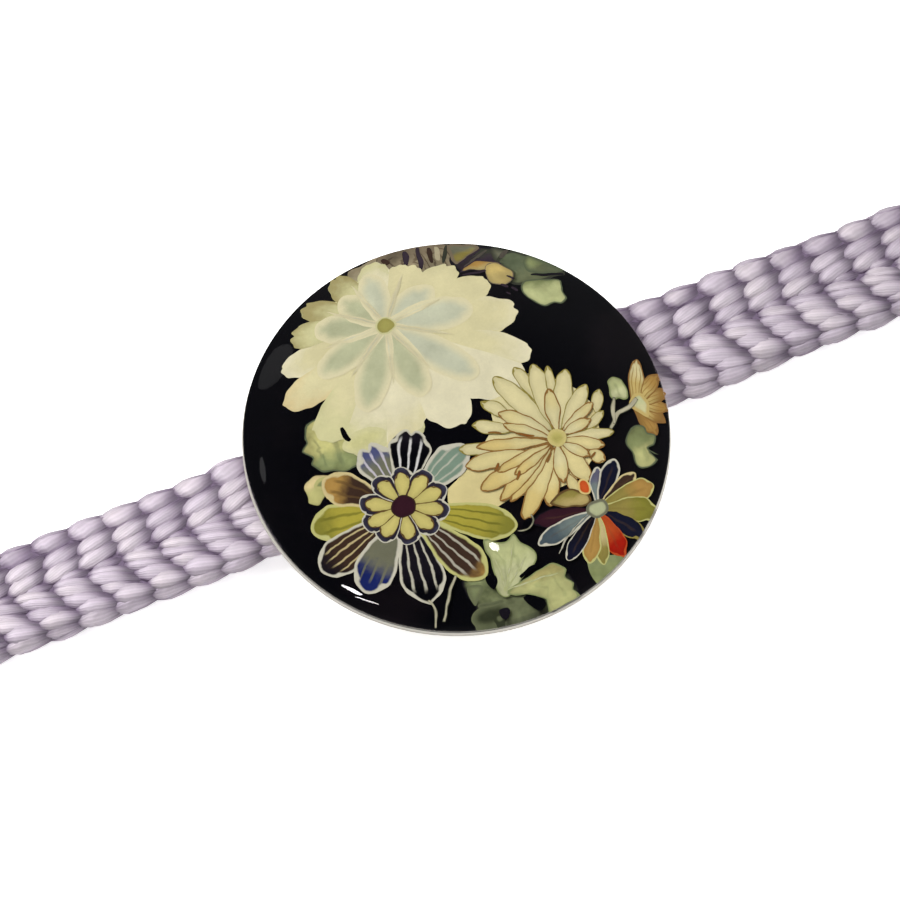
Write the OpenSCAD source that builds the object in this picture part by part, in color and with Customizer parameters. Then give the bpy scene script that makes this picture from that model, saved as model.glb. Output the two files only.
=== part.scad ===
// Obidome: a glass dome over a printed disc, on a metal back fitting that is
// threaded on a flat silk braid. The braid runs along X and lies on z = 0.
// The origin is on the surface that the braid lies on, under the dome's centre.

/* [Dome] */
// Diameter of the glass dome
dome_d = 35; // [28:0.5:48]
// Height of the straight wall at the dome's foot
dome_wall_h = 0.8; // [0.4:0.1:3]
// Rise of the rounded top above the wall
dome_rise = 5.6; // [3:0.1:9]

/* [Printed disc] */
// Thickness of the printed disc under the glass
disc_t = 0.35; // [0.2:0.05:1]
// How far the disc's cut edge stands out past the glass
disc_proud = 0.1; // [0.05:0.05:0.3]

/* [Braid] */
// Width of the braid where the fitting holds it
braid_w = 10; // [7:0.1:12]
// Thickness of the braid
braid_t = 3.3; // [2.4:0.1:4.5]
// Length of the braid, from end to end
braid_len = 92; // [80:1:140]
// Distance of the braid's middle line behind the dome's centre
braid_y = 2.2; // [0:0.1:3]
// Length over which the braid comes down from the fitting to the surface
braid_drop_len = 9; // [6:0.5:14]

/* [Fitting] */
// Length of the back plate along the braid
plate_len = 26; // [22:0.5:27]
// Thickness of the back plate
plate_t = 0.8; // [0.5:0.1:1.5]
// Radius of the back plate's corners
plate_corner_r = 2; // [0.5:0.1:3]
// Width of the back plate that stands out past the loops on each side
plate_ledge = 0.9; // [0.3:0.1:1.5]
// Width of each loop along the braid
loop_w = 3.2; // [2:0.1:5]
// Thickness of the loops' metal strip
loop_t = 0.8; // [0.5:0.1:1.2]
// Radius inside the loops' corners
loop_corner_r = 1.1; // [0.5:0.1:1.2]
// Distance of each loop from the end of the plate
loop_inset = 1; // [0.3:0.1:3]
// Clearance all round the braid inside the loops
braid_gap = 0.15; // [0.1:0.05:0.3]

/* [Hidden] */

// The stack, from the surface up
slot_z = loop_t;
slot_h = braid_t + 2 * braid_gap;
slot_w = braid_w + 2 * braid_gap;
loop_out_w = slot_w + 2 * loop_t;
loop_out_r = loop_corner_r + loop_t;
plate_z = slot_z + slot_h;
plate_w = loop_out_w + 2 * plate_ledge;
disc_z = plate_z + plate_t;
dome_z = disc_z + disc_t;
loop_x = plate_len / 2 - loop_inset - loop_w / 2;

// The rounded top is a cap of this sphere
dome_r = dome_d / 2;
cap_r = (dome_r ^ 2 + dome_rise ^ 2) / (2 * dome_rise);
cap_centre_z = dome_z + dome_wall_h + dome_rise - cap_r;

// The braid rests in the loops at this height, and on the surface outside
braid_lift = loop_t + braid_gap;

// Width along the braid:
// [place as a share of the half length, share of the full width]
WIDTHS = [
    [-1.00, 0.92],
    [-0.45, 0.97],
    [-0.28, 1.00],
    [ 0.28, 1.00],
    [ 0.45, 1.03],
    [ 1.00, 0.97],
];

// Steps round each edge of the braid, and stations along its drop and free length
EDGE_STEPS = 14;
DROP_STEPS = 8;
FREE_STEPS = 5;

// The section for a width, thick in z: flat above and below, and round at its edges.
// The stitches are finer than this solid, which is the smooth band that they fill.
function section(width) = [
    for (side = [1, -1], k = [0 : EDGE_STEPS])
        let (turn = 180 * k / EDGE_STEPS - 90)
        [side * (width - braid_t * (1 - cos(turn))) / 2, side * braid_t * sin(turn) / 2],
];

// Height of the braid's underside at x: lifted in the fitting, down outside it
function drop_share(x) =
    let (s = min(1, max(0, (abs(x) - plate_len / 2) / braid_drop_len)))
    s * s * (3 - 2 * s);
function braid_floor(x) = braid_lift * (1 - drop_share(x));

function width_share(x) = lookup(x / (braid_len / 2), WIDTHS);

// Stations along the three stretches of the braid, which meet at the fitting's ends
drop_end = plate_len / 2 + braid_drop_len;
right_stations = concat(
    [for (k = [0 : DROP_STEPS]) plate_len / 2 + braid_drop_len * k / DROP_STEPS],
    [for (k = [1 : FREE_STEPS]) drop_end + (braid_len / 2 - drop_end) * k / FREE_STEPS]
);
middle_stations = [-plate_len / 2, plate_len / 2];
left_stations = [for (i = [len(right_stations) - 1 : -1 : 0]) -right_stations[i]];

// A closed tube through rings of points, with flat ends
module through_rings(rings) {
    n = len(rings[0]);
    last = len(rings) - 1;
    sides = [
        for (r = [0 : last - 1])
            for (i = [0 : n - 1])
                let (a = r * n + i, b = r * n + (i + 1) % n)
                each [[a, b, b + n], [a, b + n, a + n]],
    ];
    polyhedron(
        points = [for (ring = rings) each ring],
        faces = concat(
            sides,
            [[for (i = [n - 1 : -1 : 0]) i]],
            [[for (i = [0 : n - 1]) last * n + i]]
        )
    );
}

// A square with round corners, about the origin
module round_rect(w, h, r) {
    square([w, h - 2 * r], center = true);
    square([w - 2 * r, h], center = true);
    for (x = [-1, 1], y = [-1, 1])
        translate([x * (w / 2 - r), y * (h / 2 - r)]) circle(r, $fn = 48);
}

module printed_disc() {
    color([0.08, 0.07, 0.10])
        translate([0, 0, disc_z])
            cylinder(h = disc_t, r = dome_r + disc_proud, $fn = 180);
}

module glass_dome() {
    color([0.85, 0.92, 0.95, 0.5])
        intersection() {
            translate([0, 0, dome_z])
                cylinder(h = dome_wall_h + dome_rise, r = dome_r, $fn = 180);
            translate([0, 0, cap_centre_z]) sphere(cap_r, $fn = 180);
        }
}

// One loop: a strip that goes under the braid and up to the plate on both sides
module fitting_loop() {
    outer_h = plate_z + plate_t;
    translate([0, 0, outer_h / 2])
        rotate([90, 0, 90])
            linear_extrude(loop_w, center = true)
                difference() {
                    round_rect(loop_out_w, outer_h, loop_out_r);
                    translate([0, slot_z + slot_h / 2 - outer_h / 2])
                        round_rect(slot_w, slot_h, loop_corner_r);
                }
}

module fitting() {
    color([0.78, 0.78, 0.80])
        translate([0, braid_y, 0]) {
            translate([0, 0, plate_z])
                linear_extrude(plate_t) round_rect(plate_len, plate_w, plate_corner_r);
            for (side = [-1, 1]) translate([side * loop_x, 0, 0]) fitting_loop();
        }
}

// One stretch of the braid, through the sections at its stations
module braid_stretch(stations) {
    color([0.80, 0.74, 0.84])
        through_rings([
            for (x = stations) [
                for (p = section(braid_w * width_share(x)))
                    [x, braid_y + p[0], braid_floor(x) + braid_t / 2 + p[1]],
            ],
        ]);
}

printed_disc();
glass_dome();
fitting();
braid_stretch(left_stations);  // braid_left
braid_stretch(middle_stations);  // braid_middle
braid_stretch(right_stations);  // braid_right
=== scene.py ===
import math

import bpy
import numpy as np
from mathutils import Matrix, Vector


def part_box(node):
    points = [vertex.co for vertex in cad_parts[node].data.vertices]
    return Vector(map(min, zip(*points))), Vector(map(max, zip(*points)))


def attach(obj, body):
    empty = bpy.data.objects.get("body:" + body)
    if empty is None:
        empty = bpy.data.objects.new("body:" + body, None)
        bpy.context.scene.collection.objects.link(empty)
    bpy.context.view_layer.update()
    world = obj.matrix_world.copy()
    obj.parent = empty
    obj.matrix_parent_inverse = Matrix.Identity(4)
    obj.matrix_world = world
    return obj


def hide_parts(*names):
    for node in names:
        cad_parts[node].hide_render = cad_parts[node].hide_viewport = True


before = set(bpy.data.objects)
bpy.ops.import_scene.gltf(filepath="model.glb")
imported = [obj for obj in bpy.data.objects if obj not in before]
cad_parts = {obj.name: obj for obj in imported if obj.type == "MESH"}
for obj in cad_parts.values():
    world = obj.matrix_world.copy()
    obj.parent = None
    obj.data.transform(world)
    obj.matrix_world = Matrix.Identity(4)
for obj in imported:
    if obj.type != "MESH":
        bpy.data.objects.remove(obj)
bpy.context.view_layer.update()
print("frame loaded")

mm = 0.001


# small helpers

def deselectAll():
    bpy.ops.object.select_all(action="DESELECT")


def pickOnly(obj):
    deselectAll()
    obj.select_set(True)
    bpy.context.view_layer.objects.active = obj


def newPiece(name):
    # the primitive that was just added, under its own name and with its place in the mesh
    obj = bpy.context.object
    obj.name = name
    obj.data.name = name
    pickOnly(obj)
    bpy.ops.object.transform_apply(location=True, rotation=True, scale=True)
    return obj


def joinPieces(name, parts):
    deselectAll()
    for part in parts:
        part.select_set(True)
    bpy.context.view_layer.objects.active = parts[0]
    bpy.ops.object.join()
    joined = bpy.context.object
    joined.name = name
    joined.data.name = name
    return joined


def readPoints(obj):
    points = np.zeros(len(obj.data.vertices) * 3)
    obj.data.vertices.foreach_get("co", points)
    return points.reshape(-1, 3)


def writePoints(obj, points):
    obj.data.vertices.foreach_set("co", np.asarray(points, dtype=np.float64).ravel())
    obj.data.update()


def addNumbers(obj, name, values):
    attribute = obj.data.attributes.new(name, "FLOAT", "POINT")
    attribute.data.foreach_set("value", np.asarray(values, dtype=np.float32))


def addColour(obj, name, colour, strength=1.0):
    attribute = obj.data.attributes.new(name, "FLOAT_COLOR", "POINT")
    row = np.array([*colour, strength], dtype=np.float32)
    attribute.data.foreach_set("color", np.tile(row, len(obj.data.vertices)))


def tone(red, green, blue):
    # a colour chosen on the 0 to 255 scale, as the shader wants it
    def linear(c):
        c = c / 255
        return c / 12.92 if c <= 0.04045 else ((c + 0.055) / 1.055) ** 2.4
    return (linear(red), linear(green), linear(blue))


def smoothly(x):
    x = np.clip(x, 0, 1)
    return x * x * (3 - 2 * x)


# shader maths: a wire is one output socket, and sums on wires add Math nodes

class Wire:
    def __init__(self, finish, socket):
        self.finish = finish
        self.socket = socket

    def __add__(self, other):
        return self.finish.maths("ADD", self, other)

    def __radd__(self, other):
        return self.finish.maths("ADD", other, self)

    def __sub__(self, other):
        return self.finish.maths("SUBTRACT", self, other)

    def __rsub__(self, other):
        return self.finish.maths("SUBTRACT", other, self)

    def __mul__(self, other):
        return self.finish.maths("MULTIPLY", self, other)

    def __rmul__(self, other):
        return self.finish.maths("MULTIPLY", other, self)


class Finish:
    def __init__(self, name, tree=None):
        if tree is None:
            self.material = bpy.data.materials.new(name)
            self.material.use_nodes = True
            tree = self.material.node_tree
        self.tree = tree
        tree.nodes.clear()

    def feed(self, socket, value):
        if isinstance(value, Wire):
            self.tree.links.new(value.socket, socket)
        elif socket.type == "RGBA" and len(value) == 3:
            socket.default_value = (*value, 1)
        else:
            socket.default_value = value

    def node(self, kind, settings=None, inputs=None, out=0):
        made = self.tree.nodes.new("ShaderNode" + kind)
        for key, value in (settings or {}).items():
            setattr(made, key, value)
        for key, value in (inputs or {}).items():
            self.feed(made.inputs[key], value)
        return Wire(self, made.outputs[out]) if made.outputs else None

    def maths(self, operation, a, b=0.0):
        return self.node("Math", {"operation": operation}, {0: a, 1: b})

    def step(self, value, low, high):
        # 0 below low, 1 above high, smooth between
        return self.node("MapRange", {"interpolation_type": "SMOOTHSTEP"},
                         {"Value": value, "From Min": low, "From Max": high})

    def mix(self, a, b, factor):
        # the Mix node's sockets 6 and 7 and its output 2 are the ones for colours
        return self.node("Mix", {"data_type": "RGBA"}, {0: factor, 6: a, 7: b}, 2)

    def scaled(self, colour, amount):
        # a colour made lighter or darker
        return self.node("VectorMath", {"operation": "SCALE"}, {0: colour, "Scale": amount})

    def noise(self, place, scale, detail=2.0, roughness=0.5):
        return self.node("TexNoise", None, {"Vector": place, "Scale": scale, "Detail": detail,
                                            "Roughness": roughness})

    def attribute(self, name, out="Fac"):
        return self.node("Attribute", {"attribute_name": name}, None, out)

    def part(self, vector, axis):
        # one number of a vector: 0, 1 or 2 for x, y or z
        return self.node("SeparateXYZ", None, {0: vector}, axis)

    def place(self):
        return self.node("TexCoord", None, None, "Object")

    def surface(self, inputs):
        shader = self.node("BsdfPrincipled", None, inputs)
        self.node("OutputMaterial", None, {"Surface": shader})
        return self.material


def rising(values, wire):
    # a least value, and how much the wire adds to it
    least, more = values
    return least + more * wire


# camera: the photo's view, aimed a little beside the part so that it lies where the photo has it

camera = {"azimuth": -23.1, "elevation": 65.0, "distance": 600 * mm, "pixels": 900,
          "pixelsPerMm": 12.19, "sensor": 36.0, "target": (0, 0, 5.6 * mm), "aimRight": -0.525 * mm,
          "aimUp": -1.017 * mm, "nearest": 10 * mm, "farthest": 20}


def makeCamera():
    a, e = math.radians(camera["azimuth"]), math.radians(camera["elevation"])
    back = Vector((math.sin(a) * math.cos(e), -math.cos(a) * math.cos(e), math.sin(e)))
    right = Vector((math.cos(a), math.sin(a), 0))
    up = back.cross(right)
    aim = Vector(camera["target"]) + right * camera["aimRight"] + up * camera["aimUp"]
    seenWidth = camera["pixels"] / camera["pixelsPerMm"] * mm
    bpy.ops.object.camera_add(location=aim + back * camera["distance"])
    made = bpy.context.object
    made.name = "photo_camera"
    made.rotation_euler = back.to_track_quat("Z", "Y").to_euler()
    made.data.sensor_width = camera["sensor"]
    made.data.lens = camera["sensor"] * camera["distance"] / seenWidth
    made.data.clip_start = camera["nearest"]
    made.data.clip_end = camera["farthest"]
    bpy.context.scene.camera = made


makeCamera()
print("camera set")


# studio: a white floor, soft lights for the braid, and a dark overhead for the glass to mirror

studio = {"floorSize": 4.0, "floorTone": 0.92, "floorGlow": 0.62, "floorRoughness": 0.9,
          "overhead": 0.014, "lowSky": 0.08, "skyFade": (0.25, 0.85), "darkSide": 0.45,
          "darkFade": (-0.8, 0.2), "backdrop": 0.95}
softLights = [
    # name, place, width, length, watts
    ("key", (-0.30, 0.28, 0.45), 0.40, 0.40, 4.2),
    ("fill", (0.45, -0.35, 0.55), 0.55, 0.55, 2.0),
    ("top", (0.05, 0.02, 0.90), 0.70, 0.70, 3.9),
]


def makeStudio():
    bpy.ops.mesh.primitive_plane_add(size=studio["floorSize"])
    floor = newPiece("studio_floor")
    paintwork = Finish("studio_white")
    floor.data.materials.append(paintwork.surface({
        "Base Color": (studio["floorTone"],) * 3, "Roughness": studio["floorRoughness"],
        "Specular IOR Level": 0.0,
        "Emission Color": (1, 1, 1), "Emission Strength": studio["floorGlow"]}))
    floor.visible_glossy = False

    world = bpy.data.worlds.new("studio_sky")
    world.use_nodes = True
    bpy.context.scene.world = world
    sky = Finish("sky", world.node_tree)
    heading = sky.node("TexCoord", None, None, "Generated")
    height = sky.part(heading, 2)
    light = studio["lowSky"] + (studio["overhead"] - studio["lowSky"]) * sky.step(
        height, *studio["skyFade"])
    # the glass mirrors a darker room on the left, and the camera sees a white backdrop
    toRight = sky.step(sky.part(heading, 0), *studio["darkFade"])
    light = light * (studio["darkSide"] + (1 - studio["darkSide"]) * toRight)
    seen = sky.node("LightPath")
    light = light * (1 - seen) + studio["backdrop"] * seen
    background = sky.node("Background", None, {"Color": (1, 1, 1), "Strength": light})
    sky.node("OutputWorld", None, {"Surface": background})


def addSoftLight(name, place, width, length, watts):
    bpy.ops.object.light_add(type="AREA", location=place)
    lamp = bpy.context.object
    lamp.name = "soft_" + name
    lamp.data.shape = "RECTANGLE"
    lamp.data.size = width
    lamp.data.size_y = length
    lamp.data.energy = watts
    lamp.rotation_euler = Vector(place).to_track_quat("Z", "Y").to_euler()
    return lamp


makeStudio()
lamps = [addSoftLight(*row) for row in softLights]
bpy.context.scene.view_settings.view_transform = "Standard"
print("studio lit")


# glass dome: rings pulled up from its foot and drawn in over the rounded top

glassLow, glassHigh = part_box("glass_dome")
glass = {"wallHeight": 0.8 * mm, "footBevel": 0.12 * mm, "shoulder": 0.5 * mm, "shoulderSteps": 6,
         "segments": 160, "rings": 26, "smoothBelow": 50, "lift": 0.003 * mm, "ior": 1.5,
         "roughness": 0.0, "colour": (0.985, 0.99, 0.985)}
domeRadius = (glassHigh.x - glassLow.x) / 2
printHeight = glassLow.z


def domeProfile():
    # radius and height of each ring, from the foot to the top's middle
    rise = glassHigh.z - glassLow.z - glass["wallHeight"]
    ball = (domeRadius ** 2 + rise ** 2) / (2 * rise)
    ballCentre = glassHigh.z - ball
    shoulder = glass["shoulder"]
    # a small round that touches the wall and the ball from inside
    roundX = domeRadius - shoulder
    roundZ = ballCentre + math.sqrt((ball - shoulder) ** 2 - roundX ** 2)
    leaves = math.atan2(roundZ - ballCentre, roundX)
    foot = glassLow.z + glass["lift"]
    profile = [(domeRadius - glass["footBevel"], foot), (domeRadius, foot + glass["footBevel"])]
    for k in range(glass["shoulderSteps"] + 1):
        turn = leaves * k / glass["shoulderSteps"]
        profile.append((roundX + shoulder * math.cos(turn), roundZ + shoulder * math.sin(turn)))
    for k in range(1, glass["rings"]):
        turn = leaves + (math.pi / 2 - leaves) * k / glass["rings"]
        profile.append((ball * math.cos(turn), ballCentre + ball * math.sin(turn)))
    return profile


def makeGlass():
    profile = domeProfile()
    radius, height = profile[0]
    deselectAll()
    bpy.ops.mesh.primitive_circle_add(vertices=glass["segments"], radius=radius,
                                      location=(0, 0, height), fill_type="NGON")
    dome = newPiece("glass_cap")
    bpy.ops.object.mode_set(mode="EDIT")
    bpy.ops.mesh.select_all(action="SELECT")
    for nextRadius, nextHeight in profile[1:]:
        lift = (0, 0, nextHeight - height)
        bpy.ops.mesh.extrude_region_move(TRANSFORM_OT_translate={"value": lift})
        share = nextRadius / radius
        bpy.ops.transform.resize(value=(share, share, 1), center_override=(0, 0, nextHeight))
        radius, height = nextRadius, nextHeight
    # the last ring's face becomes the crown
    bpy.ops.mesh.poke()
    bpy.ops.mesh.select_all(action="SELECT")
    bpy.ops.mesh.normals_make_consistent(inside=False)
    bpy.ops.object.mode_set(mode="OBJECT")
    crown = max(dome.data.vertices, key=lambda v: -math.hypot(v.co.x, v.co.y) + v.co.z)
    crown.co.z = glassHigh.z
    bpy.ops.object.shade_smooth_by_angle(angle=math.radians(glass["smoothBelow"]))

    clear = Finish("clear_glass")
    dome.data.materials.append(clear.surface({
        "Base Color": glass["colour"], "Transmission Weight": 1.0, "IOR": glass["ior"],
        "Roughness": glass["roughness"]}))
    dome.visible_shadow = False
    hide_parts("glass_dome")
    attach(dome, "root")
    return dome


dome = makeGlass()
print("glass dome made")


def keepLampsOffGlass():
    # the big soft lights leave the glass out, so that it mirrors the dark overhead, as in the photo
    left = bpy.data.collections.new("not_in_the_glass")
    left.objects.link(dome)
    left.collection_objects[0].light_linking.link_state = "EXCLUDE"
    for lamp in lamps:
        lamp.light_linking.receiver_collection = left


keepLampsOffGlass()

glassLamps = [
    # what the glass alone mirrors: name, one end, the other end, width, watts
    ("window_streak", (-0.673, -0.176, 0.597), (-0.613, -0.274, 0.623), 0.020, 0.16),
    ("window_slash", (-0.649, -0.269, 0.589), (-0.563, -0.358, 0.629), 0.018, 0.12),
    ("lamp_glint", (0.029, -0.355, 0.841), (0.062, -0.398, 0.82), 0.036, 0.10),
    ("window_line", (-0.624, 0.547, 0.387), (-0.682, 0.440, 0.425), 0.03, 0.006),
    ("window_patch", (-0.262, 0.863, 0.161), (-0.418, 0.769, 0.270), 0.16, 0.022),
]


def addGlassLamps():
    mirrored = bpy.data.collections.new("only_the_glass")
    mirrored.objects.link(dome)
    for name, start, end, width, watts in glassLamps:
        start, end = Vector(start), Vector(end)
        place = (start + end) / 2
        lamp = addSoftLight(name, place, (end - start).length, width, watts)
        lamp.data.shape = "ELLIPSE"
        # its long side runs from the one end to the other
        outwards = place.normalized()
        longSide = (end - start - outwards * (end - start).dot(outwards)).normalized()
        turned = Matrix((longSide, outwards.cross(longSide), outwards)).transposed()
        lamp.rotation_euler = turned.to_euler()
        lamp.light_linking.receiver_collection = mirrored


addGlassLamps()
print("highlights set")


# printed disc: the paper keeps its solid, and the picture lies on it as thin painted shapes

paints = {
    "black": (6, 6, 10), "warmBlack": (15, 12, 16), "ink": (22, 19, 26),
    "tipOlive": (158, 148, 102), "heartTan": (178, 168, 98), "heartEdge": (194, 180, 118),
    "creamLime": (200, 196, 142), "leafYellow": (176, 172, 114), "growth": (138, 126, 102),
    "growthDark": (112, 100, 82), "growthPale": (170, 160, 132), "foliage": (98, 103, 76),
    "foliageDim": (50, 54, 38), "foliageLight": (130, 138, 98), "leafTan": (164, 156, 102),
    "leafDim": (174, 174, 120), "vein": (212, 212, 176), "cream": (208, 200, 158),
    "paleCream": (216, 209, 178), "creamMid": (212, 204, 168), "greenCream": (198, 194, 148),
    "tanCream": (206, 188, 142), "mist": (186, 188, 165), "mistDark": (174, 176, 144),
    "ray": (210, 207, 180), "heart": (156, 150, 84), "butter": (196, 184, 112),
    "maroon": (52, 26, 36), "bark": (92, 70, 42), "slate": (74, 76, 98), "slateDark": (42, 38, 50),
    "olive": (126, 122, 50), "oliveDark": (92, 92, 34), "oliveLight": (160, 150, 60),
    "ochre": (166, 130, 70), "umber": (58, 42, 34), "navy": (26, 36, 92), "sage": (106, 106, 88),
    "teal": (118, 138, 122), "bluegrey": (92, 92, 112), "blueTip": (74, 78, 116),
    "lilac": (196, 190, 202), "white": (200, 198, 196), "outline": (190, 186, 170),
    "lime": (182, 180, 116), "sand": (196, 180, 132), "petal": (208, 194, 140),
    "petalPale": (208, 198, 152), "petalWarm": (206, 184, 120), "brown": (134, 98, 54),
    "rust": (160, 86, 42), "moss": (138, 126, 66), "leaf": (178, 182, 132),
    "leafDark": (128, 136, 92), "leafDeep": (84, 92, 70), "leafPale": (190, 192, 148),
    "shade": (56, 58, 48), "smoke": (84, 78, 70), "plum": (52, 42, 52), "tan": (172, 154, 100),
    "red": (156, 28, 14), "fire": (176, 74, 36), "spot": (196, 84, 40), "steel": (112, 124, 122),
    "steelDark": (72, 84, 92), "pinHeart": (168, 172, 136), "pinNavy": (20, 22, 40),
    "stem": (194, 188, 162), "bloomEdge": (188, 166, 104), "bloomDeep": (146, 112, 60),
}
colours = {name: tone(*value) for name, value in paints.items()}

# the black ground and the painted shapes on it, in mm
ground = {"radius": 17.32, "lift": 0.012, "segments": 128, "patchScale": 130,
          "patchFade": (0.45, 0.75), "grain": (0.85, 0.3)}
brush = {"lift": 0.02, "sheetStep": 0.0015, "slant": (0.3, -0.2), "waver": 0.035, "blotSteps": 256,
         "strokeSteps": 60, "strokeSwell": 0.6, "notchWidth": 0.22}
# what a shape has where its look doesn't say it
usualLook = {"lines": 0, "rimWidth": 0.0, "tintFrom": 0.4, "mottle": 0.25}
printState = {"height": printHeight / mm + brush["lift"], "shapes": []}


def makeSheet(name, columns, rows):
    # a flat grid that each painted shape is a bent copy of
    deselectAll()
    bpy.ops.mesh.primitive_grid_add(x_subdivisions=columns, y_subdivisions=rows, size=2)
    sheet = newPiece(name)
    points = readPoints(sheet)
    onEdge = (np.abs(points[:, 0]) > 0.999) | (np.abs(points[:, 1]) > 0.999)
    edgePoints = np.where(onEdge)[0]
    turns = np.arctan2(points[edgePoints, 1], points[edgePoints, 0])
    return {"object": sheet, "points": points, "loop": edgePoints[np.argsort(turns)]}


petalSheet = makeSheet("petal_sheet", 12, 16)
blotSheet = makeSheet("blot_sheet", 18, 18)
fanSheet = makeSheet("fan_sheet", 32, 8)


def distanceToEdge(flat, loop):
    # how far each point of a flat shape lies inside its outline, in mm
    starts = flat[loop]
    ends = np.roll(starts, -1, axis=0)
    along = ends - starts
    span = np.maximum((along ** 2).sum(1), 1e-12)
    offset = flat[:, None, :] - starts[None]
    share = np.clip((offset * along[None]).sum(2) / span[None], 0, 1)
    return np.sqrt(((offset - share[..., None] * along[None]) ** 2).sum(2)).min(1)


def unsteady(flat):
    # the painter's hand: every outline wavers a little
    x, y = flat.T
    waver = brush["waver"]
    sideways = np.sin(3.1 * x + 2.3 * y) + 0.6 * np.sin(-2.3 * x + 4.3 * y + 1.0)
    upwards = np.sin(2.3 * x - 3.7 * y + 2.0) + 0.6 * np.sin(4.9 * x + 2.1 * y)
    return flat + waver * np.column_stack([sideways, upwards])


def addShape(sheet, flat, across, along, look):
    # one painted shape, a hair above the one before it
    flat = unsteady(flat)
    shape = sheet["object"].copy()
    shape.data = sheet["object"].data.copy()
    bpy.context.scene.collection.objects.link(shape)
    # each lies at a slight slant, so that a fold in it never meets itself
    slantAcross, slantAlong = brush["slant"]
    height = printState["height"] + brush["sheetStep"] * (slantAcross * across + slantAlong * along)
    writePoints(shape, np.column_stack([flat, height]) * mm)
    addNumbers(shape, "across", across)
    addNumbers(shape, "along", along)
    addNumbers(shape, "edge", distanceToEdge(flat, sheet["loop"]))
    for name, usual in usualLook.items():
        addNumbers(shape, name, np.full(len(flat), look.get(name, usual)))
    paint = look["paint"]
    addColour(shape, "paint", colours[paint])
    addColour(shape, "tint", colours[look.get("tint", paint)])
    addColour(shape, "streak", colours[look.get("streak", paint)], look.get("strength", 0.0))
    addColour(shape, "rim", colours[look.get("rim", paint)])
    printState["height"] += brush["sheetStep"]
    printState["shapes"].append(shape)


def petal(centre, angle, length, width, look, start=0.0, base=0.3, belly=0.7, tip=0.6, sharp=0.5,
          end=0.8, notch=0.0):
    # a petal from near its flower's centre outwards: base and tip are shares of the width at its
    # two ends, belly is where it is widest, end rounds its corners off and notch splits its tip
    sheet = petalSheet["points"]
    across = np.sin(sheet[:, 0] * math.pi / 2)
    along = np.sin((sheet[:, 1] + 1) / 4 * math.pi)
    before = base + (1 - base) * np.sin(np.minimum(along / belly, 1) * math.pi / 2)
    past = np.clip((along - belly) / (1 - belly), 0, 1)
    after = tip + (1 - tip) * np.maximum(1 - past ** 2, 0) ** sharp
    half = width / 2 * np.where(along < belly, before, after)
    forward = start + (length - start) * along
    forward = forward - end * along ** 3 * (1 - np.sqrt(1 - 0.999 * across ** 2))
    forward = forward - notch * along ** 8 * np.exp(-(across / brush["notchWidth"]) ** 2)
    sideways = across * half
    a = math.radians(angle)
    flat = np.column_stack([centre[0] + forward * math.cos(a) - sideways * math.sin(a),
                            centre[1] + forward * math.sin(a) + sideways * math.cos(a)])
    addShape(petalSheet, flat, across, along, look)


def throughPoints(points, count, closed):
    # a smooth line through a few chosen points
    points = np.array(points, dtype=float)
    n = len(points)
    spans = n if closed else n - 1
    places = np.linspace(0, spans, count, endpoint=not closed)
    first = np.minimum(places.astype(int), spans - 1)
    t = (places - first)[:, None]

    def at(k):
        return points[k % n] if closed else points[np.clip(k, 0, n - 1)]
    p0, p1, p2, p3 = at(first - 1), at(first), at(first + 1), at(first + 2)
    return 0.5 * (2 * p1 + (p2 - p0) * t + (2 * p0 - 5 * p1 + 4 * p2 - p3) * t ** 2
                  + (3 * p1 - p0 - 3 * p2 + p3) * t ** 3)


def blot(points, look, centre=None):
    # a patch of paint inside a closed line through a few points
    outline = throughPoints(points, brush["blotSteps"], True)
    middle = np.array(centre if centre else outline.mean(0))
    turns = np.unwrap(np.arctan2(outline[:, 1] - middle[1], outline[:, 0] - middle[0]))
    if turns[-1] < turns[0]:
        outline = outline[::-1]
        turns = np.unwrap(np.arctan2(outline[:, 1] - middle[1], outline[:, 0] - middle[0]))
    x, y = blotSheet["points"][:, 0], blotSheet["points"][:, 1]
    reach = np.maximum(np.abs(x), np.abs(y))
    turn = np.arctan2(y, x)
    turn = turns[0] + np.mod(turn - turns[0], 2 * math.pi)
    order = np.argsort(turns)
    edgeX = np.interp(turn, turns[order], outline[order, 0], period=2 * math.pi)
    edgeY = np.interp(turn, turns[order], outline[order, 1], period=2 * math.pi)
    flat = middle + (np.column_stack([edgeX, edgeY]) - middle) * reach[:, None]
    addShape(blotSheet, flat, x, (y + 1) / 2, look)


def stroke(points, width, look, ends=0.35):
    # a brush line through a few points, thinner towards its two ends
    sheet = petalSheet["points"]
    across, along = sheet[:, 0], (sheet[:, 1] + 1) / 2
    line = throughPoints(points, brush["strokeSteps"], False)
    heading = np.gradient(line, axis=0)
    heading /= np.maximum(np.linalg.norm(heading, axis=1), 1e-9)[:, None]
    rows = np.linspace(0, 1, brush["strokeSteps"])
    spine = np.column_stack([np.interp(along, rows, line[:, k]) for k in (0, 1)])
    ahead = np.column_stack([np.interp(along, rows, heading[:, k]) for k in (0, 1)])
    half = width / 2 * (ends + (1 - ends) * np.sin(math.pi * along) ** brush["strokeSwell"])
    flat = spine + np.column_stack([-ahead[:, 1], ahead[:, 0]]) * (across * half)[:, None]
    addShape(petalSheet, flat, across, along, look)


def finishPrint(name):
    piece = joinPieces(name, printState["shapes"])
    printState["shapes"] = []
    piece.data.materials.clear()
    piece.data.materials.append(inkFinish)
    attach(piece, "root")
    print(name, "painted")


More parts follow.
